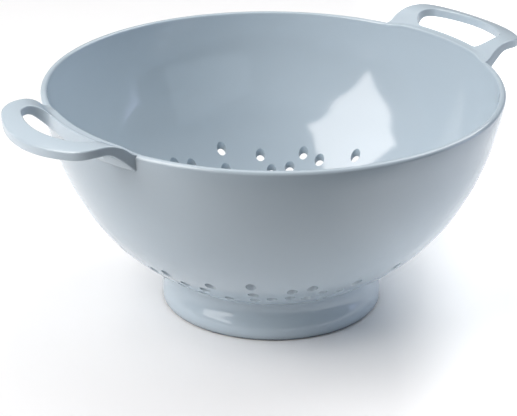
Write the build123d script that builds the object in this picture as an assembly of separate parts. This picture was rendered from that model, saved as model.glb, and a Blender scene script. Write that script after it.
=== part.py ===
from build123d import *
import math
import os

# Overall size: Z is up, the foot stands on Z = 0 and the handles point along X.
rim_radius = 120.0
height = 120.0

# Bowl wall and lip
wall = 2.8
lip_width = 3.4
lip_outer_round = 1.8
lip_inner_round = 1.2

# Outside of the bowl: each point as shares of the rim radius and of the height, from the centre out
bowl_base = 5.0
bowl_shares = (
    (0.22, 0.062),
    (0.43, 0.145),
    (0.643, 0.287),
    (0.781, 0.43),
    (0.87, 0.573),
    (0.934, 0.715),
    (0.976, 0.858),
)

# Drain holes in seven equal sectors. A field hole lies at a share of the way from the foot's
# outside to the rim, a base hole at a share of the spigot's inside, each at a share of a sector.
# The turned surface of the bowl closes at the seam share of a sector.
hole_diameter = 5.4
sectors = 7
pattern_turn = 20.3
seam_share = 0.676
field_hole_shares = (
    (0.483, 0.0),
    (0.343, 0.0),
    (0.21, 0.0),
    (0.252, 0.132),
    (0.413, 0.264),
    (0.283, 0.264),
    (0.447, 0.395),
    (0.241, 0.395),
    (0.341, 0.487),
    (0.314, 0.632),
    (0.424, 0.716),
    (0.171, 0.55),
    (0.187, 0.79),
)
base_hole_shares = (
    (0.23, 0.0),
    (0.434, 0.5),
    (0.614, 0.0),
    (0.639, 0.36),
    (0.807, 0.2),
    (0.819, 0.56),
    (0.831, 0.88),
)

# Foot ring
foot_bore_radius = 52.4
foot_base_width = 6.1
foot_waist_width = 4.2
foot_waist_height = 11.5
foot_neck_width = 3.0
foot_neck_drop = 2.6
foot_belly_height = 5.0
foot_round = 1.6
foot_bore_round = 0.8
foot_cove = 2.4
foot_cove_edge = 0.5

# Spigot under the bowl that the foot ring is pressed over
spigot_width = 2.6
spigot_depth = 6.0
spigot_chamfer = 0.6

# Handle seat: a notch cut down through the lip, which the root of the handle fills
seat_depth = 6.0

# Handle plan, with lengths counted outwards from the rim
handle_length = 31.6
handle_root_half = 40.0
handle_corner_half = 38.3
handle_corner_length = 18.6
handle_corner_round = 14.0
bar_width = 9.8
slot_start = 2.0
slot_root_half = 28.4
slot_outer_half = 29.8
slot_inner_round = 7.0
slot_outer_round = 8.0

# Handle section, as length outwards from the rim and rise above the lip
handle_thickness = 4.8
crest_rise = 1.5
crest_bevel = 0.9
knee_length = 2.4
knee_rise = 2.5
shoulder_length = 14.0
shoulder_rise = 7.6
tip_length = 34.0
tip_rise = 3.2
brace_length = 9.6
brace_rise = 1.2
gusset_depth = 8.7
gusset_edge = 0.7
band_arc = 60.0
handle_edge_round = 0.8

# Radii that follow from the lengths above
foot_radius = foot_bore_radius + foot_base_width
foot_waist_radius = foot_bore_radius + foot_waist_width
foot_top_radius = foot_bore_radius + foot_neck_width
spigot_bore_radius = foot_bore_radius - spigot_width
lip_bore_radius = rim_radius - lip_width
handle_inboard = rim_radius - 2 * lip_width
handle_reach = rim_radius + handle_length
handle_corner_reach = rim_radius + handle_corner_length
slot_radius = rim_radius + slot_start

BASE = (Align.CENTER, Align.CENTER, Align.MIN)


def outer_points():
    points = [(0, bowl_base)]
    for share_r, share_z in bowl_shares:
        points.append((share_r * rim_radius, share_z * height))
    points.append((rim_radius, height - lip_outer_round))
    return points


def inner_points(points):
    result = [(0, points[0][1] + wall)]
    for before, here, after in zip(points, points[1:], points[2:]):
        run = after[0] - before[0]
        rise = after[1] - before[1]
        length = math.hypot(run, rise)
        result.append((here[0] - wall * rise / length, here[1] + wall * run / length))
    result.append((lip_bore_radius, height - lip_inner_round))
    return result


def outer_curve():
    points = outer_points()
    return Spline(*points, tangents=[(1, 0), (0.1, 1)])


def radius_on_wall(z):
    curve = outer_curve()
    low = 0.0
    high = 1.0
    for _ in range(40):
        middle = (low + high) / 2
        if (curve @ middle).Y < z:
            low = middle
        else:
            high = middle
    return (curve @ low).X


def height_on_wall(radius):
    curve = outer_curve()
    low = 0.0
    high = 1.0
    for _ in range(40):
        middle = (low + high) / 2
        if (curve @ middle).X < radius:
            low = middle
        else:
            high = middle
    return (curve @ low).Y


def turn(face, arc=360.0):
    return revolve(Plane.XZ * face, axis=Axis.Z, revolution_arc=arc)


def inner_curve():
    return Spline(*inner_points(outer_points()), tangents=[(1, 0), (0.1, 1)])


def bowl_blank():
    outer = outer_curve()
    inner = inner_curve()
    crest_out = (rim_radius - lip_outer_round, height)
    crest_in = (lip_bore_radius + lip_inner_round, height)
    lip_out = RadiusArc(outer @ 1, crest_out, -lip_outer_round)
    lip_in = RadiusArc(crest_in, inner @ 1, -lip_inner_round)
    edges = [outer, lip_out, Line(crest_out, crest_in), lip_in, inner, Line(inner @ 0, outer @ 0)]
    seam = pattern_turn + 360.0 / sectors * seam_share
    return Rot(0, 0, seam) * turn(make_face(edges))


def cavity():
    inner = inner_curve()
    top = (0, height - lip_inner_round)
    return turn(make_face([inner, Line(inner @ 1, top), Line(top, inner @ 0)]))


def spigot():
    outside = foot_bore_radius
    inside = spigot_bore_radius
    top = height_on_wall(outside) + wall / 2
    low = height_on_wall(inside) - spigot_depth
    ring = Pos(0, 0, low) * (Cylinder(outside, top - low, align=BASE) - Cylinder(inside, top - low, align=BASE))
    foot_edges = ring.edges().group_by(Axis.Z)[0]
    return chamfer(foot_edges, spigot_chamfer)


def place(radius, share_a, count):
    angle = math.radians(pattern_turn + 360.0 / sectors * (count + share_a))
    return radius * math.cos(angle), radius * math.sin(angle)


def hole_places():
    span = rim_radius - foot_radius
    places = [(0, 0)]
    for count in range(sectors):
        for share_r, share_a in field_hole_shares:
            places.append(place(foot_radius + share_r * span, share_a, count))
        for share_r, share_a in base_hole_shares:
            places.append(place(share_r * spigot_bore_radius, share_a, count))
    return places


def drain_holes():
    drill = Cylinder(hole_diameter / 2, height, align=BASE)
    return [Pos(x, y, 0) * drill for x, y in hole_places()]


def arc_through(reach, half, mid_reach):
    drop = mid_reach - reach
    radius = (half * half + drop * drop) / (2 * drop)
    return mid_reach - radius, radius


def corner_centre(start, end, arc_x, arc_radius, offset, outside):
    run = end[0] - start[0]
    rise = end[1] - start[1]
    length = math.hypot(run, rise)
    along = (run / length, rise / length)
    base_x = start[0] + along[1] * offset - arc_x
    base_y = start[1] - along[0] * offset
    half_b = base_x * along[0] + base_y * along[1]
    rest = base_x ** 2 + base_y ** 2 - arc_radius ** 2
    reach = math.sqrt(half_b ** 2 - rest)
    step = -half_b - reach if outside else -half_b + reach
    return base_x + arc_x + along[0] * step, base_y + along[1] * step, along


def corner_arc(start, end, arc_x, arc_radius, offset, outside):
    reach = arc_radius + offset if outside else arc_radius - offset
    x, y, along = corner_centre(start, end, arc_x, reach, offset, outside)
    on_line = (x - along[1] * offset, y + along[0] * offset)
    away = math.hypot(x - arc_x, y)
    side = -1 if outside else 1
    to_arc = (side * (x - arc_x) / away, side * y / away)
    on_arc = (x + to_arc[0] * offset, y + to_arc[1] * offset)
    mid_dir = (to_arc[0] - along[1], to_arc[1] + along[0])
    size = math.hypot(*mid_dir)
    middle = (x + mid_dir[0] / size * offset, y + mid_dir[1] / size * offset)
    return on_line, middle, on_arc


def mirrored(point):
    return point[0], -point[1]


def handle_plan():
    centre, radius = arc_through(handle_corner_reach, handle_corner_half, handle_reach)
    taper = (handle_root_half - handle_corner_half) / handle_corner_length
    root_x = rim_radius - handle_root_half / 2
    root = (root_x, handle_root_half + taper * (rim_radius - root_x))
    corner = (handle_corner_reach, handle_corner_half)
    a, m, b = corner_arc(root, corner, centre, radius, handle_corner_round, False)
    edges = [
        Line(root, a),
        ThreePointArc(a, m, b),
        ThreePointArc(b, (handle_reach, 0), mirrored(b)),
        ThreePointArc(mirrored(b), mirrored(m), mirrored(a)),
        Line(mirrored(a), mirrored(root)),
        Line(mirrored(root), root),
    ]
    return make_face(edges)


def slot_plan():
    centre, radius = arc_through(handle_corner_reach, handle_corner_half, handle_reach)
    inner = (slot_radius, slot_root_half)
    outer = (handle_corner_reach, slot_outer_half)
    a, m, b = corner_arc(inner, outer, centre, radius - bar_width, slot_outer_round, False)
    back_a = mirrored(outer)
    back_b = mirrored(inner)
    c, n, d = corner_arc(back_a, back_b, 0.0, slot_radius, slot_inner_round, True)
    edges = [
        ThreePointArc(b, (handle_reach - bar_width, 0), mirrored(b)),
        ThreePointArc(mirrored(b), mirrored(m), mirrored(a)),
        Line(mirrored(a), c),
        ThreePointArc(c, n, d),
        ThreePointArc(d, (slot_radius, 0), mirrored(d)),
        ThreePointArc(mirrored(d), mirrored(n), mirrored(c)),
        Line(mirrored(c), a),
        ThreePointArc(a, m, b),
    ]
    return make_face(edges)


def upright(plan):
    low = height - gusset_depth - handle_thickness
    top = height + shoulder_rise + handle_thickness
    return Pos(0, 0, low) * extrude(plan, amount=top - low)


def handle_band():
    crest_z = height + crest_rise
    crest = (rim_radius, crest_z)
    knee = (rim_radius + knee_length, height + knee_rise)
    shoulder = (rim_radius + shoulder_length, height + shoulder_rise)
    tip = (rim_radius + tip_length, height + tip_rise)
    rise = TangentArc(crest, knee, tangent=(1, 0))
    swell = TangentArc(knee, shoulder, tangent=rise % 1)
    crown = TangentArc(shoulder, tip, tangent=swell % 1)
    under_tip = (tip[0], tip[1] - handle_thickness)
    under_shoulder = (shoulder[0], shoulder[1] - handle_thickness)
    brace = (rim_radius + brace_length, height + brace_rise)
    toe_z = height - gusset_depth
    toe = (radius_on_wall(toe_z) + gusset_edge, toe_z)
    belly = TangentArc(under_shoulder, under_tip, tangent=swell % 1)
    heading = (swell % 1) * -1
    bend = TangentArc(under_shoulder, brace, tangent=heading)
    sweep = TangentArc(brace, toe, tangent=bend % 1)
    inside = toe[0] - wall / 2
    ledge = height - seat_depth
    lip_z = height - lip_inner_round
    bevel_low = (lip_bore_radius, crest_z - crest_bevel)
    bevel_high = (lip_bore_radius + crest_bevel, crest_z)
    edges = [
        Line(bevel_high, crest),
        rise,
        swell,
        crown,
        Line(tip, under_tip),
        belly,
        bend,
        sweep,
        Line(toe, (inside, toe_z)),
        Line((inside, toe_z), (inside, ledge)),
        Line((inside, ledge), (handle_inboard, ledge)),
        Line((handle_inboard, ledge), (handle_inboard, lip_z)),
        Line((handle_inboard, lip_z), (lip_bore_radius, lip_z)),
        Line((lip_bore_radius, lip_z), bevel_low),
        Line(bevel_low, bevel_high),
    ]
    return Rot(0, 0, -band_arc / 2) * turn(make_face(edges), band_arc)


def lip_rebate(plan):
    low = height - seat_depth
    outside = Cylinder(2 * rim_radius, 2 * seat_depth, align=BASE)
    inside = Cylinder(handle_inboard, 2 * seat_depth, align=BASE)
    return (Pos(0, 0, low) * (outside - inside)) & upright(plan)


def outer_edges(shape, top):
    chosen = []
    for edge in shape.edges():
        middle = edge.center()
        on_top = middle.Z > height + handle_thickness / 3
        clear = math.hypot(middle.X, middle.Y) > rim_radius + gusset_edge
        if clear and middle.X > rim_radius - 2 * slot_start and on_top == top:
            if edge.length > handle_thickness:
                chosen.append(edge)
    return chosen


def foot_section():
    belly = (foot_radius, foot_belly_height)
    waist = (foot_waist_radius, foot_waist_height)
    neck_z = height_on_wall(foot_top_radius) - foot_neck_drop
    neck = (foot_top_radius, neck_z)
    rim_r = foot_top_radius + foot_cove
    rim = (rim_r, height_on_wall(rim_r) - foot_cove_edge)
    side = Spline((foot_radius, foot_round), belly, waist, neck, tangents=[(0, 1), (0, 1)])
    cove = Spline(neck, rim, tangents=[(0, 1), (1, 0.7)])
    over_rim = (rim_r, height_on_wall(rim_r) + wall / 2)
    over_bore = (foot_bore_radius, height_on_wall(foot_bore_radius) + wall / 2)
    edges = [
        side,
        cove,
        Line(rim, over_rim),
        Line(over_rim, over_bore),
        Line(over_bore, (foot_bore_radius, foot_bore_round)),
        RadiusArc((foot_bore_radius, foot_bore_round), (foot_bore_radius + foot_bore_round, 0), foot_bore_round),
        Line((foot_bore_radius + foot_bore_round, 0), (foot_radius - foot_round, 0)),
        RadiusArc((foot_radius - foot_round, 0), (foot_radius, foot_round), foot_round),
    ]
    return make_face(edges)


blank = bowl_blank()
plan = handle_plan()
rebate = lip_rebate(plan)
shell = blank + spigot() - rebate - Rot(0, 0, 180) * rebate
bowl = shell - drain_holes()

handle = (handle_band() & upright(plan)) - upright(slot_plan())
handle = handle - shell - cavity()
handle = fillet(outer_edges(handle, True) + outer_edges(handle, False), handle_edge_round)

foot_ring = turn(foot_section()) - blank

os.makedirs("parts", exist_ok=True)
export_step(bowl, "parts/bowl.step")
export_step(handle, "parts/handle_right.step")
export_step(Rot(0, 0, 180) * handle, "parts/handle_left.step")
export_step(foot_ring, "parts/foot_ring.step")
for name, shape in (("bowl", bowl), ("handle", handle), ("foot_ring", foot_ring)):
    print(name, len(shape.solids()), "solid", round(shape.volume), "mm3")
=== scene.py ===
import math
import bpy
import bmesh
import numpy as np
from mathutils import Matrix, Quaternion, Vector


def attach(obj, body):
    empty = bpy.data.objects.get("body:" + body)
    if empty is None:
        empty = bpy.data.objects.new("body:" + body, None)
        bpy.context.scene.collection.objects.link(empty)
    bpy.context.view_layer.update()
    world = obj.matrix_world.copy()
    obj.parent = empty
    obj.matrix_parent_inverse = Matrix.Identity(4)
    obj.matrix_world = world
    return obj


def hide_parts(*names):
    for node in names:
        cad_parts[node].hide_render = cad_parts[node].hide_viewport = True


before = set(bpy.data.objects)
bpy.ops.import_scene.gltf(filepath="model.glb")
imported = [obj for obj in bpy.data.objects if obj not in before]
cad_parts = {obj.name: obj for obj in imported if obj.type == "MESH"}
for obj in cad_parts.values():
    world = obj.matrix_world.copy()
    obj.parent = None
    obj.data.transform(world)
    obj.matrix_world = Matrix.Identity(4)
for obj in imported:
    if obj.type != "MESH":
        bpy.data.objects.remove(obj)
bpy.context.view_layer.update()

mm = 0.001
quarterCurl = 0.5523  # handle length that bends a curve into a quarter circle, as a share of its radius
drawing = bpy.context.scene.collection


def tidyScene():
    for name in ("Cube", "Light", "Camera"):
        left = bpy.data.objects.get(name)
        if left:
            bpy.data.objects.remove(left)


def newObject(name, bm):
    mesh = bpy.data.meshes.new(name)
    bm.to_mesh(mesh)
    bm.free()
    piece = bpy.data.objects.new(name, mesh)
    drawing.objects.link(piece)
    return piece


def evaluatedMesh(piece):
    depsgraph = bpy.context.evaluated_depsgraph_get()
    return bpy.data.meshes.new_from_object(piece.evaluated_get(depsgraph))


def tangentArc(start, heading, end):
    # circle through start and end that leaves start along heading: centre, radius and the heading at end
    chord = Vector(end) - Vector(start)
    side = Vector((-heading[1], heading[0])).normalized()
    bend = chord.length_squared / (2 * chord.dot(side))
    centre = Vector(start) + side * bend
    arm = Vector(end) - centre
    leave = Vector((-arm.y, arm.x)).normalized()
    if bend < 0:
        leave = -leave
    return centre, abs(bend), leave


def outlineMesh(points, closed, fine):
    # points are (radius, height, handle kind) in mm, or (radius, height, (in handle), (out handle))
    curve = bpy.data.curves.new("outline", "CURVE")
    curve.dimensions = "3D"
    curve.resolution_u = fine
    line = curve.splines.new("BEZIER")
    line.bezier_points.add(len(points) - 1)
    for knot, point in zip(line.bezier_points, points):
        knot.co = (point[0] * mm, 0, point[1] * mm)
        knot.handle_left_type = knot.handle_right_type = "AUTO"
    for knot, point in zip(line.bezier_points, points):
        if len(point) == 4:
            knot.handle_left_type = knot.handle_right_type = "FREE"
            knot.handle_left = (knot.co.x + point[2][0] * mm, 0, knot.co.z + point[2][1] * mm)
            knot.handle_right = (knot.co.x + point[3][0] * mm, 0, knot.co.z + point[3][1] * mm)
    line.use_cyclic_u = closed
    holder = bpy.data.objects.new("outline", curve)
    drawing.objects.link(holder)
    mesh = evaluatedMesh(holder)
    bpy.data.objects.remove(holder)
    return mesh


def spinOutline(mesh, steps):
    bm = bmesh.new()
    bm.from_mesh(mesh)
    for vert in bm.verts:
        vert.co.x = max(vert.co.x, 0.0)
    bmesh.ops.spin(bm, geom=bm.verts[:] + bm.edges[:], cent=(0, 0, 0), axis=(0, 0, 1), dvec=(0, 0, 0),
                   angle=2 * math.pi, steps=steps, use_merge=True, use_normal_flip=False, use_duplicate=False)
    bmesh.ops.remove_doubles(bm, verts=bm.verts, dist=1e-6)
    bmesh.ops.dissolve_degenerate(bm, edges=bm.edges, dist=1e-7)
    bmesh.ops.recalc_face_normals(bm, faces=bm.faces)
    return bm


def smoothFaces(mesh):
    for face in mesh.polygons:
        face.use_smooth = True


# bowl: lengths in mm, wall points as shares of the rim radius and the height
bowlShape = {
    "rim": 120.0,
    "height": 120.0,
    "wall": 2.8,
    "base": 5.0,
    "lipWidth": 3.4,
    "lipOuterRound": 1.8,
    "lipInnerRound": 1.2,
    "wallShares": (
        (0.22, 0.062),
        (0.43, 0.145),
        (0.643, 0.287),
        (0.781, 0.43),
        (0.87, 0.573),
        (0.934, 0.715),
        (0.976, 0.858),
    ),
    "baseHandle": 9,
    "lipHandle": (0.3, 5.5),
    "crestHandle": 0.1,
    "around": 224,
    "fine": 7,
}

drainShape = {
    "width": 5.4,
    "sectors": 7,
    "turn": 20.3,
    "sides": 28,
    "footEdge": 58.5,
    "spigotEdge": 49.8,
    "cutLength": 120.0,
    "cutMiddle": 30.0,
    "wallReach": 1.02,
    "wallFacing": 0.8,
    "fieldShares": (
        (0.483, 0.0), (0.343, 0.0), (0.21, 0.0), (0.252, 0.132), (0.413, 0.264), (0.283, 0.264), (0.447, 0.395),
        (0.241, 0.395), (0.341, 0.487), (0.314, 0.632), (0.424, 0.716), (0.171, 0.55), (0.187, 0.79),
    ),
    "baseShares": (
        (0.23, 0.0), (0.434, 0.5), (0.614, 0.0), (0.639, 0.36), (0.807, 0.2), (0.819, 0.56), (0.831, 0.88),
    ),
}


def bowlOutline(shape):
    outer = [(0.0, shape["base"])]
    for shareR, shareZ in shape["wallShares"]:
        outer.append((shareR * shape["rim"], shareZ * shape["height"]))
    outer.append((shape["rim"], shape["height"] - shape["lipOuterRound"]))
    inner = [(0.0, shape["base"] + shape["wall"])]
    for before, here, after in zip(outer, outer[1:], outer[2:]):
        run = Vector((after[0] - before[0], after[1] - before[1])).normalized()
        inner.append((here[0] - shape["wall"] * run.y, here[1] + shape["wall"] * run.x))
    rimOut = outer.pop()
    big = shape["lipOuterRound"]
    small = shape["lipInnerRound"]
    bigCurl = big * quarterCurl
    smallCurl = small * quarterCurl
    crestIn = shape["rim"] - shape["lipWidth"] + small
    down = (-shape["lipHandle"][0], -shape["lipHandle"][1])
    flat = shape["crestHandle"]
    points = [(0.0, shape["base"], (0, 0), (shape["baseHandle"], 0))]
    points += outer[1:]
    points.append((rimOut[0], rimOut[1], down, (0, bigCurl)))
    points.append((shape["rim"] - big, shape["height"], (bigCurl, 0), (-flat, 0)))
    points.append((crestIn, shape["height"], (flat, 0), (-smallCurl, 0)))
    points.append((crestIn - small, shape["height"] - small, (0, smallCurl), down))
    points += inner[:0:-1]
    points.append((0.0, shape["base"] + shape["wall"], (shape["baseHandle"], 0), (0, 0)))
    return points


def drainPlaces(shape, rim):
    span = rim - shape["footEdge"]
    spots = [(0.0, 0.0)]
    for count in range(shape["sectors"]):
        rings = [(shape["footEdge"] + r * span, a) for r, a in shape["fieldShares"]]
        rings += [(r * shape["spigotEdge"], a) for r, a in shape["baseShares"]]
        for radius, share in rings:
            angle = math.radians(shape["turn"] + 360.0 / shape["sectors"] * (count + share))
            spots.append((radius * math.cos(angle) * mm, radius * math.sin(angle) * mm))
    return spots


def drainCutter(shape, spots):
    bm = bmesh.new()
    radius = shape["width"] / 2 * mm
    for x, y in spots:
        place = Matrix.Translation((x, y, shape["cutMiddle"] * mm))
        bmesh.ops.create_cone(bm, cap_ends=True, segments=shape["sides"], radius1=radius, radius2=radius,
                              depth=shape["cutLength"] * mm, matrix=place)
    return newObject("drainCutter", bm)


def turnedNormals(mesh, outline, spots, shape):
    # the turned skin takes the outline's own direction and each drain wall its hole's,
    # so gloss runs clean between them
    line = np.array([(v.co.x, v.co.z) for v in outline.vertices])
    legs = line[1:] - line[:-1]
    long = np.maximum((legs ** 2).sum(1), 1e-14)
    run = np.gradient(line, axis=0)
    ways = np.stack((run[:, 1], -run[:, 0]), 1)
    ways /= np.linalg.norm(ways, axis=1, keepdims=True)
    points = np.array([v.co for v in mesh.vertices])
    around = np.hypot(points[:, 0], points[:, 1])
    spot = np.stack((around, points[:, 2]), 1)
    off = spot[:, None, :] - line[None, :-1, :]
    share = np.clip((off * legs).sum(2) / long, 0, 1)
    gap = np.linalg.norm(off - share[..., None] * legs, axis=2)
    near = gap.argmin(1)
    part = share[np.arange(len(near)), near][:, None]
    flat = ways[near] * (1 - part) + ways[near + 1] * part
    flat /= np.linalg.norm(flat, axis=1, keepdims=True)
    turn = points[:, :2] / np.maximum(around, 1e-9)[:, None]
    skin = np.column_stack((flat[:, 0] * turn[:, 0], flat[:, 0] * turn[:, 1], flat[:, 1]))
    holes = np.array(spots)
    toward = holes[((points[:, None, :2] - holes) ** 2).sum(2).argmin(1)] - points[:, :2]
    depth = np.linalg.norm(toward, axis=1)
    wall = np.column_stack((toward / np.maximum(depth, 1e-9)[:, None], np.zeros(len(points))))
    reach = shape["width"] / 2 * mm * shape["wallReach"]
    normals = [Vector((0, 0, 0))] * len(mesh.loops)
    for face in mesh.polygons:
        facing = face.normal.dot(Vector(wall[face.vertices[0]]))
        inHole = facing > shape["wallFacing"] and all(depth[v] < reach for v in face.vertices)
        source = wall if inHole else skin
        for loop, vert in zip(face.loop_indices, face.vertices):
            normals[loop] = source[vert]
    mesh.normals_split_custom_set(normals)


def makeBowl():
    outline = outlineMesh(bowlOutline(bowlShape), False, bowlShape["fine"])
    bm = spinOutline(outline, bowlShape["around"])
    spots = drainPlaces(drainShape, bowlShape["rim"])
    shell = newObject("bowlShell", bm)
    cutter = drainCutter(drainShape, spots)
    cut = shell.modifiers.new("drains", "BOOLEAN")
    cut.operation = "DIFFERENCE"
    cut.solver = "EXACT"
    cut.object = cutter
    mesh = evaluatedMesh(shell)
    bpy.data.objects.remove(shell)
    bpy.data.objects.remove(cutter)
    smoothFaces(mesh)
    turnedNormals(mesh, outline, spots, drainShape)
    mesh.name = "bowlSkin"
    piece = bpy.data.objects.new("bowlSkin", mesh)
    drawing.objects.link(piece)
    return piece


# foot ring: (radius, height) in mm
footShape = {
    "bore": 52.4,
    "boreTop": 17.6,
    "boreRound": 1.0,
    "base": 58.5,
    "baseRound": 1.6,
    "belly": (58.5, 5.0),
    "waist": (56.6, 11.5),
    "neck": (55.4, 17.2),
    "cove": (57.8, 21.4),
    "inside": (53.6, 20.2),
    "around": 224,
    "fine": 8,
}


def footOutline(shape):
    # each knot: radius, height, handle back towards the knot before, handle on towards the next
    curl = shape["baseRound"] * quarterCurl
    base = shape["base"]
    low = shape["baseRound"]
    bore = shape["bore"]
    edge = shape["boreRound"]
    return [
        (bore, shape["boreTop"], (0.0, 0.4), (0.0, -4)),
        (bore, edge, (0.0, 4), (0.0, -0.5)),
        (bore + edge, 0.0, (-0.5, 0), (1.0, 0)),
        (base - low, 0.0, (-1.0, 0), (curl, 0)),
        (base, low, (0, -curl), (0, 1.0)),
        (*shape["belly"], (0.0, -1.2), (0.0, 2.2)),
        (*shape["waist"], (0.75, -2.1), (-0.75, 2.1)),
        (*shape["neck"], (0.0, -1.8), (0.0, 1.4)),
        (*shape["cove"], (-1.4, -0.7), (0.2, 0.2)),
        (*shape["inside"], (0.3, 0.2), (-0.3, -0.2)),
    ]


def makeFoot():
    outline = outlineMesh(footOutline(footShape), True, footShape["fine"])
    bm = spinOutline(outline, footShape["around"])
    piece = newObject("footSkin", bm)
    smoothFaces(piece.data)
    return piece


# handles: radii and heights in mm, the plan mirrored about X
handleShape = {
    "inboard": 116.62,
    "crest": (120.0, 121.5),
    "knee": (122.4, 122.5),
    "shoulder": (134.0, 127.6),
    "tip": (154.0, 123.2),
    "thickness": 4.8,
    "brace": (129.6, 121.2),
    "toe": (119.4, 111.3),
    "reach": 151.6,
    "cornerReach": 138.6,
    "cornerHalf": 38.3,
    "rootHalf": 40.0,
    "cornerRound": 14.0,
    "bar": 9.8,
    "slotStart": 122.0,
    "slotRootHalf": 28.4,
    "slotOuterHalf": 29.8,
    "slotOuterRound": 8.0,
    "slotInnerRound": 7.0,
    "sideBack": 100.0,
    "fade": (28.0, 39.0),
    "fadeDrop": 1.42,
    "fadeEnds": (1.0, 0.6),
    "edgeRound": 0.9,
    "edgeSteps": 5,
    "edgeAngle": 1.2,
    "sharpAngle": 0.9,
    "steps": 12,
    "across": 12,
    "rootShare": 0.45,
    "evenWeight": 50,
}


def topArcs(shape):
    rise = tangentArc(shape["crest"], (1, 0), shape["knee"])
    swell = tangentArc(shape["knee"], rise[2], shape["shoulder"])
    crown = tangentArc(shape["shoulder"], swell[2], shape["tip"])
    return rise, swell, crown


def handleTop(shape, radius):
    rise, swell, crown = topArcs(shape)
    if radius <= shape["crest"][0]:
        return shape["crest"][1]
    if radius <= shape["knee"][0]:
        return rise[0].y - math.sqrt(rise[1] ** 2 - (radius - rise[0].x) ** 2)
    if radius <= shape["shoulder"][0]:
        return swell[0].y + math.sqrt(swell[1] ** 2 - (radius - swell[0].x) ** 2)
    return crown[0].y + math.sqrt(max(crown[1] ** 2 - (radius - crown[0].x) ** 2, 0))


def ease(value, low, high):
    share = min(max((value - low) / (high - low), 0.0), 1.0)
    return share * share * (3 - 2 * share)


def crestFade(shape, radius, across):
    # the raised crest sinks back to the lip towards both ends of the root
    ends = ease(abs(across), *shape["fade"])
    inner, outer = shape["fadeEnds"]
    return shape["fadeDrop"] * ends * (1 - ease(radius, shape["inboard"] + inner, shape["knee"][0] + outer))


def handleUnder(shape, radius):
    shoulder = shape["shoulder"]
    way = topArcs(shape)[1][2]
    if radius >= shoulder[0]:
        return handleTop(shape, radius) - shape["thickness"]
    bend = tangentArc((shoulder[0], shoulder[1] - shape["thickness"]), (-way.x, -way.y), shape["brace"])
    sweep = tangentArc(shape["brace"], bend[2], shape["toe"])
    if radius >= shape["brace"][0]:
        return bend[0].y + math.sqrt(max(bend[1] ** 2 - (radius - bend[0].x) ** 2, 0))
    reach = max(radius, shape["toe"][0])
    return sweep[0].y + math.sqrt(max(sweep[1] ** 2 - (reach - sweep[0].x) ** 2, 0))


def walkArc(bm, vert, centre, turn, steps):
    # carries a point round a centre and leaves a chain of edges behind it
    made = bmesh.ops.spin(bm, geom=[vert], cent=(centre[0], centre[1], 0), axis=(0, 0, 1), dvec=(0, 0, 0),
                          angle=turn, steps=steps, use_merge=False, use_normal_flip=False, use_duplicate=False)
    return [v for v in made["geom_last"] if isinstance(v, bmesh.types.BMVert)][0]


def walkLine(bm, vert, end, steps):
    start = vert.co.copy()
    for step in range(steps):
        made = bmesh.ops.extrude_vert_indiv(bm, verts=[vert])
        vert = made["verts"][0]
        vert.co = start.lerp(Vector((end[0], end[1], 0)), (step + 1) / steps)
    return vert


def cornerOnArc(start, end, arcX, arcRadius, size, outside):
    # centre of a corner round of that size between the line start-end and a circle about (arcX, 0)
    along = Vector((end[0] - start[0], end[1] - start[1])).normalized()
    base = Vector((start[0] + along.y * size - arcX, start[1] - along.x * size))
    reach = arcRadius + size if outside else arcRadius - size
    half = base.dot(along)
    root = math.sqrt(half ** 2 - base.length_squared + reach ** 2)
    step = -half - root if outside else -half + root
    centre = base + along * step + Vector((arcX, 0))
    onLine = centre + Vector((-along.y, along.x)) * size
    away = (centre - Vector((arcX, 0))).normalized()
    onArc = centre - away * size if outside else centre + away * size
    return centre, onLine, onArc


def turnBetween(centre, start, end):
    a = math.atan2(start[1] - centre[1], start[0] - centre[0])
    b = math.atan2(end[1] - centre[1], end[0] - centre[0])
    return (b - a + math.pi) % (2 * math.pi) - math.pi


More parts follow.
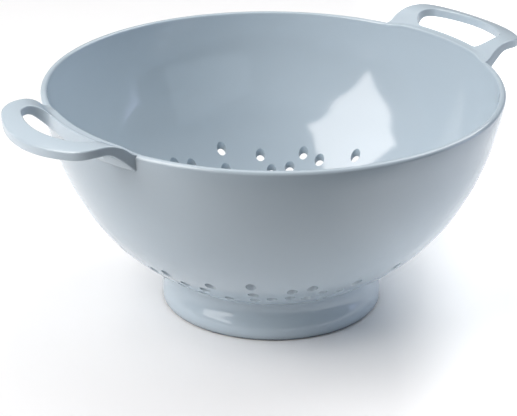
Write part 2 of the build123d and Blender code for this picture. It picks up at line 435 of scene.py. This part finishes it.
def halfOutlines(shape):
    # both half outlines are walked from the middle of the bar to the middle of the root, step for step alike
    drop = shape["reach"] - shape["cornerReach"]
    bend = (shape["cornerHalf"] ** 2 + drop ** 2) / (2 * drop)
    middle = shape["reach"] - bend
    taper = (shape["rootHalf"] - shape["cornerHalf"]) / (shape["cornerReach"] - shape["crest"][0])
    far = (shape["sideBack"], shape["rootHalf"] + taper * (shape["crest"][0] - shape["sideBack"]))
    corner = (shape["cornerReach"], shape["cornerHalf"])
    centre, onLine, onArc = cornerOnArc(far, corner, middle, bend, shape["cornerRound"], False)
    slope = math.hypot(1, taper)
    nearest = (far[1] + taper * far[0]) / slope
    onRoot = math.sqrt(shape["inboard"] ** 2 - nearest ** 2)
    root = ((nearest * taper + onRoot) / slope, (nearest - onRoot * taper) / slope)
    slotStart = shape["slotStart"]
    slotLow = (slotStart, shape["slotRootHalf"])
    slotHigh = (shape["cornerReach"], shape["slotOuterHalf"])
    slotBend = bend - shape["bar"]
    slotRound = shape["slotOuterRound"]
    slotCentre, slotLine, slotArc = cornerOnArc(slotLow, slotHigh, middle, slotBend, slotRound, False)
    backA = (slotHigh[0], -slotHigh[1])
    backB = (slotLow[0], -slotLow[1])
    innerCentre, innerLine, innerArc = cornerOnArc(backA, backB, 0.0, slotStart, shape["slotInnerRound"], True)
    steps = shape["steps"]
    tip = (shape["reach"], 0)
    outer = bmesh.new()
    vert = outer.verts.new((*tip, 0))
    vert = walkArc(outer, vert, (middle, 0), turnBetween((middle, 0), tip, onArc), 2 * steps)
    vert = walkArc(outer, vert, centre, turnBetween(centre, onArc, onLine), steps)
    vert = walkLine(outer, vert, root, steps)
    rootTurn = math.atan2(root[1], root[0])
    vert = walkArc(outer, vert, (0, 0), -rootTurn * shape["rootShare"], steps // 2)
    walkArc(outer, vert, (0, 0), -rootTurn * (1 - shape["rootShare"]), 2 * steps)
    inner = bmesh.new()
    vert = inner.verts.new((shape["reach"] - shape["bar"], 0, 0))
    vert = walkArc(inner, vert, (middle, 0), turnBetween((middle, 0), tip, slotArc), 2 * steps)
    vert = walkArc(inner, vert, slotCentre, turnBetween(slotCentre, slotArc, slotLine), steps)
    turnIn = (innerLine.x, -innerLine.y)
    turnOut = (innerArc.x, -innerArc.y)
    inCentre = (innerCentre.x, -innerCentre.y)
    vert = walkLine(inner, vert, turnIn, steps)
    vert = walkArc(inner, vert, inCentre, turnBetween(inCentre, turnIn, turnOut), steps // 2)
    walkArc(inner, vert, (0, 0), turnBetween((0, 0), turnOut, (1, 0)), 2 * steps)
    return outer, inner


def makeHandle(name, side):
    shape = handleShape
    bm = bmesh.new()
    for half in halfOutlines(shape):
        outline = half.verts[:] + half.edges[:]
        bmesh.ops.mirror(half, geom=outline, matrix=Matrix.Identity(4), merge_dist=1e-4, axis="Y")
        bmesh.ops.remove_doubles(half, verts=half.verts, dist=1e-3)
        loop = bpy.data.meshes.new("loop")
        half.to_mesh(loop)
        half.free()
        bm.from_mesh(loop)
        bpy.data.meshes.remove(loop)
    bmesh.ops.bridge_loops(bm, edges=bm.edges)
    bmesh.ops.recalc_face_normals(bm, faces=bm.faces)
    if bm.faces[:][0].normal.z < 0:
        bmesh.ops.reverse_faces(bm, faces=bm.faces)
    below = bmesh.ops.extrude_face_region(bm, geom=bm.faces[:], use_keep_orig=True)
    lowVerts = [v for v in below["geom"] if isinstance(v, bmesh.types.BMVert)]
    bmesh.ops.translate(bm, verts=lowVerts, vec=(0, 0, -shape["thickness"]))
    bmesh.ops.recalc_face_normals(bm, faces=bm.faces)
    level = [e for e in bm.edges if abs(e.verts[0].co.z - e.verts[1].co.z) < 1e-5]
    rims = [e for e in level if e.calc_face_angle(0) > shape["edgeAngle"]]
    bmesh.ops.bevel(bm, geom=rims, offset=shape["edgeRound"], offset_type="OFFSET", segments=shape["edgeSteps"],
                    profile=0.5, affect="EDGES", clamp_overlap=False, material=-1)
    # the strips between the rounded rims are cut across, so that they can follow the swell of the handle
    bm.normal_update()
    shared = [e for e in bm.edges if len(e.link_faces) == 2]
    strips = [e for e in shared if all(abs(f.normal.z) > 0.9999 for f in e.link_faces)]
    bmesh.ops.subdivide_edges(bm, edges=strips, cuts=shape["across"], use_grid_fill=True)
    half = shape["thickness"] / 2
    for vert in bm.verts:
        radius = vert.co.xy.length
        if vert.co.z > -half:
            vert.co.z = handleTop(shape, radius) - crestFade(shape, radius, vert.co.y) + vert.co.z
        else:
            vert.co.z = handleUnder(shape, radius) + vert.co.z + shape["thickness"]
    bmesh.ops.scale(bm, vec=(mm, mm, mm), verts=bm.verts)
    if side < 0:
        bmesh.ops.rotate(bm, cent=(0, 0, 0), matrix=Matrix.Rotation(math.pi, 3, "Z"), verts=bm.verts)
    for edge in bm.edges:
        edge.smooth = edge.calc_face_angle(0) < shape["sharpAngle"]
    piece = newObject(name, bm)
    smoothFaces(piece.data)
    even = piece.modifiers.new("even shading", "WEIGHTED_NORMAL")
    even.weight = shape["evenWeight"]
    even.keep_sharp = True
    return piece


# glossy moulded finish with painted crease shade: the patterns are given as scale and detail
finishValues = {
    "pigment": (0.484, 0.570, 0.640),
    "cloud": 0.018,
    "cloudPattern": (14, 3),
    "speckle": 0.02,
    "specklePattern": (1500, 1),
    "roughness": 0.10,
    "smear": 0.03,
    "smearPattern": (35, 4),
    "peel": 0.02,
    "peelPattern": (420, 0),
    "peelDepth": 0.0004,
    "ior": 1.6,
    # painted shade: how far the occlusion mask reaches and how dark it paints creases and hole walls
    "creaseReach": 0.006,
    "creaseOpen": (0.25, 0.85),
    "creasePaintedShade": 0.22,
    "creaseSamples": 8,
}


def socket(group, name, kind, output=False, value=None):
    made = group.interface.new_socket(name=name, in_out="OUTPUT" if output else "INPUT", socket_type=kind)
    if value is not None:
        made.default_value = value


def patternNoise(nodes, links, place, pattern):
    noise = nodes.new("ShaderNodeTexNoise")
    noise.inputs["Scale"].default_value, noise.inputs["Detail"].default_value = pattern
    links.new(place.outputs["Object"], noise.inputs["Vector"])
    return noise.outputs["Fac"]


def combine(nodes, links, operation, first, second, clamp=False):
    # the second value is a number or comes from another node
    mixed = nodes.new("ShaderNodeMath")
    mixed.operation = operation
    mixed.use_clamp = clamp
    links.new(first, mixed.inputs[0])
    if isinstance(second, float):
        mixed.inputs[1].default_value = second
    else:
        links.new(second, mixed.inputs[1])
    return mixed.outputs[0]


def mouldedGroup():
    # pressed powder plastic: cloudy pigment, fine speckle, and a very slight orange peel under the gloss
    group = bpy.data.node_groups.new("mouldedPowder", "ShaderNodeTree")
    socket(group, "Pigment", "NodeSocketColor", value=(*finishValues["pigment"], 1))
    socket(group, "Cloud", "NodeSocketFloat", value=finishValues["cloud"])
    socket(group, "Speckle", "NodeSocketFloat", value=finishValues["speckle"])
    socket(group, "Roughness", "NodeSocketFloat", value=finishValues["roughness"])
    socket(group, "Smear", "NodeSocketFloat", value=finishValues["smear"])
    socket(group, "Color", "NodeSocketColor", output=True)
    socket(group, "Gloss", "NodeSocketFloat", output=True)
    socket(group, "Peel", "NodeSocketFloat", output=True)
    nodes = group.nodes
    links = group.links
    into = nodes.new("NodeGroupInput")
    out = nodes.new("NodeGroupOutput")
    place = nodes.new("ShaderNodeTexCoord")
    uneven = {}
    for name in ("Cloud", "Speckle", "Smear"):
        noise = patternNoise(nodes, links, place, finishValues[name.lower() + "Pattern"])
        shift = combine(nodes, links, "SUBTRACT", noise, 0.5)
        uneven[name] = combine(nodes, links, "MULTIPLY", shift, into.outputs[name])
    both = combine(nodes, links, "ADD", uneven["Cloud"], uneven["Speckle"])
    tint = nodes.new("ShaderNodeVectorMath")
    tint.operation = "SCALE"
    links.new(into.outputs["Pigment"], tint.inputs[0])
    links.new(combine(nodes, links, "ADD", both, 1.0), tint.inputs["Scale"])
    links.new(tint.outputs[0], out.inputs["Color"])
    gloss = combine(nodes, links, "ADD", into.outputs["Roughness"], uneven["Smear"], clamp=True)
    links.new(gloss, out.inputs["Gloss"])
    links.new(patternNoise(nodes, links, place, finishValues["peelPattern"]), out.inputs["Peel"])
    return group


def mouldedMaterial(name, group):
    values = finishValues
    material = bpy.data.materials.new(name)
    material.use_nodes = True
    nodes = material.node_tree.nodes
    links = material.node_tree.links
    shader = nodes["Principled BSDF"]
    powder = nodes.new("ShaderNodeGroup")
    powder.node_tree = group
    powder.inputs["Pigment"].default_value = (*values["pigment"], 1)
    for name in ("Cloud", "Speckle", "Roughness", "Smear"):
        powder.inputs[name].default_value = values[name.lower()]
    # painted shade: an occlusion mask darkens the base colour in creases, hole walls and the joint under the
    # bowl
    crease = nodes.new("ShaderNodeAmbientOcclusion")
    crease.samples = values["creaseSamples"]
    crease.inputs["Distance"].default_value = values["creaseReach"]
    shade = nodes.new("ShaderNodeMapRange")
    shade.inputs["From Min"].default_value = values["creaseOpen"][0]
    shade.inputs["From Max"].default_value = values["creaseOpen"][1]
    shade.inputs["To Min"].default_value = values["creasePaintedShade"]
    links.new(crease.outputs["AO"], shade.inputs["Value"])
    shaded = nodes.new("ShaderNodeVectorMath")
    shaded.operation = "SCALE"
    links.new(powder.outputs["Color"], shaded.inputs[0])
    links.new(shade.outputs["Result"], shaded.inputs["Scale"])
    links.new(shaded.outputs["Vector"], shader.inputs["Base Color"])
    links.new(powder.outputs["Gloss"], shader.inputs["Roughness"])
    bump = nodes.new("ShaderNodeBump")
    bump.inputs["Strength"].default_value = values["peel"]
    bump.inputs["Distance"].default_value = values["peelDepth"]
    links.new(powder.outputs["Peel"], bump.inputs["Height"])
    links.new(bump.outputs["Normal"], shader.inputs["Normal"])
    shader.inputs["IOR"].default_value = values["ior"]
    return material


# the room: directions and distances in metres from the middle of the part
roomValues = {
    "floorSize": 6,
    "floorRoughness": 0.9,
    "floorGloss": 0.1,
    "floor": (0.95, 0.95, 0.955),
    # painted shade: the far colour and where the paper greys off towards the viewer
    "floorFar": (0.10, 0.103, 0.11),
    "floorReach": (0.13, 0.28),
    # painted light: the paper glows white on the right beside the shadow
    "glow": 0.40,
    "glowSide": (0.793, -0.609, 0.0),
    "glowReach": (0.055, 0.115),
    "glowEnd": (0.16, 0.45),
    "sky": (0.95, 0.97, 1.0),
    "skyLevels": (0.21, 0.33),
    "skyReach": (0.0, 0.8),
    "darkSide": (-0.609, -0.793, 0.0),
    "darkReach": (-0.1, 0.6),
    "darkShare": 0.17,
    "lampAim": 0.06,
}

photoView = {
    "distance": 1.05,
    "height": 0.070,
    "slope": 22.769,
    "around": -37.53,
    "yaw": 0.3865,
    "pitch": -1.038,
    "roll": -0.5746,
    "lens": 138.55,
    "sensor": 36,
    "clip": 0.05,
}


def makeCamera():
    view = photoView
    slope = math.radians(view["slope"])
    turn = Matrix.Rotation(math.radians(view["around"]), 3, "Z")
    target = Vector((0, 0, view["height"]))
    place = target + turn @ Vector((0, -math.cos(slope), math.sin(slope))) * view["distance"]
    ahead = (target - place).normalized()
    right = turn @ Vector((1, 0, 0))
    up = right.cross(ahead)
    yaw = Matrix.Rotation(math.radians(view["yaw"]), 3, up)
    ahead, right = yaw @ ahead, yaw @ right
    pitch = Matrix.Rotation(math.radians(view["pitch"]), 3, right)
    ahead, up = pitch @ ahead, pitch @ up
    roll = Matrix.Rotation(math.radians(view["roll"]), 3, ahead)
    right, up = roll @ right, roll @ up
    lens = bpy.data.cameras.new("photoCamera")
    lens.lens = view["lens"]
    lens.sensor_width = view["sensor"]
    lens.clip_start = view["clip"]
    camera = bpy.data.objects.new("photoCamera", lens)
    drawing.objects.link(camera)
    facing = Matrix((right, up, -ahead)).transposed()
    camera.matrix_world = Matrix.Translation(place) @ facing.to_4x4()
    bpy.context.scene.camera = camera


def softStep(nodes, links, place, direction, reach, levels):
    # a soft change from one level to another along one direction
    along = nodes.new("ShaderNodeVectorMath")
    along.operation = "DOT_PRODUCT"
    along.inputs[1].default_value = direction
    links.new(place, along.inputs[0])
    level = nodes.new("ShaderNodeMapRange")
    level.interpolation_type = "SMOOTHSTEP"
    level.inputs["From Min"].default_value, level.inputs["From Max"].default_value = reach
    level.inputs["To Min"].default_value, level.inputs["To Max"].default_value = levels
    links.new(along.outputs["Value"], level.inputs["Value"])
    return level.outputs["Result"]


def makeFloor():
    room = roomValues
    bm = bmesh.new()
    bmesh.ops.create_grid(bm, x_segments=2, y_segments=2, size=room["floorSize"])
    floor = newObject("studioFloor", bm)
    material = bpy.data.materials.new("studioPaper")
    material.use_nodes = True
    nodes = material.node_tree.nodes
    links = material.node_tree.links
    shader = nodes["Principled BSDF"]
    shader.inputs["Roughness"].default_value = room["floorRoughness"]
    shader.inputs["Specular IOR Level"].default_value = room["floorGloss"]
    place = nodes.new("ShaderNodeTexCoord").outputs["Object"]
    # painted shade: the paper is white under the part and its colour greys off towards the viewer, standing in
    # for light falling off there
    away = softStep(nodes, links, place, room["darkSide"], room["floorReach"], (0.0, 1.0))
    paper = nodes.new("ShaderNodeMix")
    paper.data_type = "RGBA"
    for plug in paper.inputs:
        if plug.type == "RGBA":
            plug.default_value = (*room["floor" if plug.name == "A" else "floorFar"], 1)
    links.new(away, paper.inputs["Factor"])
    links.new(next(plug for plug in paper.outputs if plug.type == "RGBA"), shader.inputs["Base Color"])
    # painted light: an emission band makes the paper glow white on the right beside the shadow
    beside = softStep(nodes, links, place, room["glowSide"], room["glowReach"], (0.0, room["glow"]))
    beyond = softStep(nodes, links, place, room["glowSide"], room["glowEnd"], (1.0, 0.0))
    near = combine(nodes, links, "SUBTRACT", beyond, away, clamp=True)
    shader.inputs["Emission Color"].default_value = (1, 1, 1, 1)
    links.new(combine(nodes, links, "MULTIPLY", beside, near), shader.inputs["Emission Strength"])
    floor.data.materials.append(material)


def makeSky():
    # soft light from overhead, dim at the horizon and dimmer on the side that the viewer stands on
    room = roomValues
    world = bpy.data.worlds.new("studio")
    world.use_nodes = True
    nodes = world.node_tree.nodes
    links = world.node_tree.links
    back = nodes["Background"]
    back.inputs["Color"].default_value = (*room["sky"], 1)
    way = nodes.new("ShaderNodeTexCoord").outputs["Generated"]
    overhead = softStep(nodes, links, way, (0, 0, 1), room["skyReach"], room["skyLevels"])
    viewer = softStep(nodes, links, way, room["darkSide"], room["darkReach"], (1.0, room["darkShare"]))
    links.new(combine(nodes, links, "MULTIPLY", overhead, viewer), back.inputs["Strength"])
    bpy.context.scene.world = world


# lamps stand around the table: angle from +X, angle up, metres away, width and height, roll about the beam
lampValues = {
    "keyLamp": {
        "around": 168, "up": 42, "away": 1.3, "size": (0.95, 0.95),
        "roll": -26, "watts": 16.4, "tone": (1.0, 0.965, 0.94),
    },
    "lowLamp": {
        "around": 177, "up": 5.5, "away": 1.1, "size": (0.62, 0.12),
        "roll": 0, "watts": 0.8, "tone": (1.0, 0.99, 0.98),
    },
    "backLamp": {
        "around": 5, "up": 45, "away": 1.4, "size": (0.9, 0.7),
        "roll": 0, "watts": 6.2, "tone": (1.0, 1.0, 0.99),
    },
    "overLamp": {
        "around": 52, "up": 72, "away": 1.1, "size": (1.2, 1.0),
        "roll": 0, "watts": 3.2, "tone": (1.0, 1.0, 1.0),
    },
    "rightLamp": {
        "around": -28, "up": 9, "away": 1.3, "size": (0.6, 0.45),
        "roll": 0, "watts": 1.4, "tone": (0.78, 0.88, 1.25),
    },
    "streakLamp": {
        "around": 120, "up": 10, "away": 1.3, "size": (0.16, 0.36),
        "roll": 0, "watts": 0.35, "tone": (1.0, 1.0, 1.0),
    },
    "sideLamp": {
        "around": -88, "up": 24, "away": 1.5, "size": (1.3, 0.6),
        "roll": 0, "watts": 1.2, "tone": (0.85, 1.0, 1.12),
    },
}


def makeLamps():
    aim = Vector((0, 0, roomValues["lampAim"]))
    for name, values in lampValues.items():
        lamp = bpy.data.lights.new(name, "AREA")
        lamp.shape = "RECTANGLE"
        lamp.size, lamp.size_y = values["size"]
        lamp.energy = values["watts"]
        lamp.color = values["tone"]
        around = math.radians(values["around"])
        up = math.radians(values["up"])
        way = Vector((math.cos(up) * math.cos(around), math.cos(up) * math.sin(around), math.sin(up)))
        holder = bpy.data.objects.new(name, lamp)
        drawing.objects.link(holder)
        turned = (-way).to_track_quat("-Z", "Y") @ Quaternion((0, 0, 1), math.radians(values["roll"]))
        holder.rotation_euler = turned.to_euler()
        holder.location = aim + way * values["away"]


tidyScene()
makeCamera()
makeFloor()
makeSky()
makeLamps()
bpy.context.scene.view_settings.view_transform = "Standard"
print("room, camera and lamps ready")

powder = mouldedGroup()
bowl = makeBowl()
bowl.data.materials.append(mouldedMaterial("bowlFinish", powder))
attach(bowl, "root")
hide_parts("bowl")
print("bowl ready", len(bowl.data.polygons), "faces")

foot = makeFoot()
foot.data.materials.append(mouldedMaterial("footFinish", powder))
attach(foot, "root")
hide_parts("foot_ring")
print("foot ready", len(foot.data.polygons), "faces")

handleFinish = mouldedMaterial("handleFinish", powder)
for name, node, side in (("handleSkinRight", "handle_right", 1), ("handleSkinLeft", "handle_left", -1)):
    handle = makeHandle(name, side)
    handle.data.materials.append(handleFinish)
    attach(handle, "root")
    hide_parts(node)
    print(name, "ready", len(handle.data.polygons), "faces")
